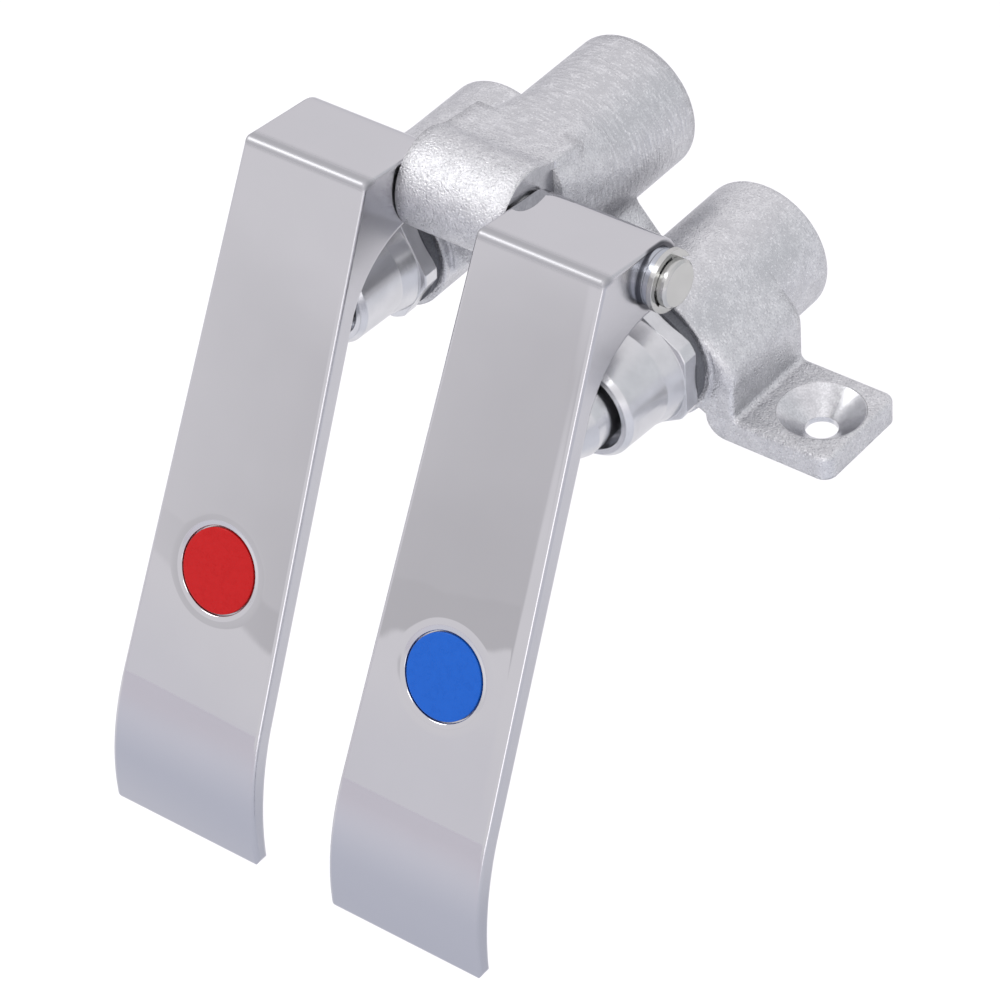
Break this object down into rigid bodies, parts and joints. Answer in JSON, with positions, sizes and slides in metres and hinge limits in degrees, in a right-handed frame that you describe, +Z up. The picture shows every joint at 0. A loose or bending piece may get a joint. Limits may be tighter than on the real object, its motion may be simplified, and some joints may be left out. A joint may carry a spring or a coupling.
{
  "type": "pedal knee valve",
  "caption": "Double knee-operated mixing valve: hot and cold pedals on a shared hinge pin push spring-return plungers in a cast body with rear pipe ports and mounting ears.",
  "frame": {"origin": "on the ears' mounting plane, midway between the two ear screw holes", "axes": "+X to the cold side, across the pedals; +Y back towards the pipe ports; +Z up, away from the mounting plane"},
  "size_m": [0.1426, 0.1203, 0.131],
  "materials": {
    "cast_chrome": "chrome plate over a rough sand casting, with machined cheeks and rims",
    "polished_chrome": "polished chrome plate",
    "steel": "turned stainless steel",
    "spring_steel": "drawn wire",
    "brass": "turned brass",
    "seal_rubber": "moulded rubber",
    "fibre": "pressed fibre",
    "hot_index": "glossy enamelled disc",
    "cold_index": "glossy enamelled disc"
  },
  "bodies": {
    "valve": {"valve_body": "cast_chrome", "hinge_pin": "steel", "hot_bonnet": "polished_chrome", "hot_bonnet_gasket": "fibre", "hot_plunger_seal": "seal_rubber", "hot_return_spring": "spring_steel", "hot_stem_guide": "brass", "hot_stem_seal": "seal_rubber", "hot_guide_seal": "seal_rubber", "hot_valve_seat": "brass", "hot_spacer_washer": "steel", "cold_bonnet": "polished_chrome", "cold_bonnet_gasket": "fibre", "cold_plunger_seal": "seal_rubber", "cold_return_spring": "spring_steel", "cold_stem_guide": "brass", "cold_stem_seal": "seal_rubber", "cold_guide_seal": "seal_rubber", "cold_valve_seat": "brass", "cold_spacer_washer": "steel", "cold_pin_washer": "steel", "cold_pin_clip": "steel"},
    "hot_pedal": {"hot_pedal": "polished_chrome", "hot_pedal_bush": "steel", "hot_index_disc": "hot_index"},
    "hot_plunger": {"hot_plunger": "steel", "hot_poppet": "brass", "hot_seat_washer": "seal_rubber", "hot_poppet_nut": "brass"},
    "cold_pedal": {"cold_pedal": "polished_chrome", "cold_pedal_bush": "steel", "cold_index_disc": "cold_index"},
    "cold_plunger": {"cold_plunger": "steel", "cold_poppet": "brass", "cold_seat_washer": "seal_rubber", "cold_poppet_nut": "brass"}
  },
  "joints": [
    {"name": "hot_pedal_hinge", "type": "hinge", "parent": "valve", "child": "hot_pedal", "pos_m": [0, -0.0225, 0.043], "axis": [1, 0, 0], "range_deg": [0, 8]},
    {"name": "hot_plunger_slide", "type": "slide", "parent": "valve", "child": "hot_plunger", "axis": [0, 1, 0], "range_m": [0, 0.0056], "stiffness_N_per_m": 1500, "springref_m": -0.006, "deforming": ["hot_return_spring"]},
    {"name": "cold_pedal_hinge", "type": "hinge", "parent": "valve", "child": "cold_pedal", "pos_m": [0, -0.0225, 0.043], "axis": [1, 0, 0], "range_deg": [0, 8]},
    {"name": "cold_plunger_slide", "type": "slide", "parent": "valve", "child": "cold_plunger", "axis": [0, 1, 0], "range_m": [0, 0.0056], "stiffness_N_per_m": 1500, "springref_m": -0.006, "deforming": ["cold_return_spring"]}
  ],
  "couplings": [
    {"joint": "hot_plunger_slide", "follows": "hot_pedal_hinge", "m_per_rad": 0.0388},
    {"joint": "cold_plunger_slide", "follows": "cold_pedal_hinge", "m_per_rad": 0.0388}
  ]
}
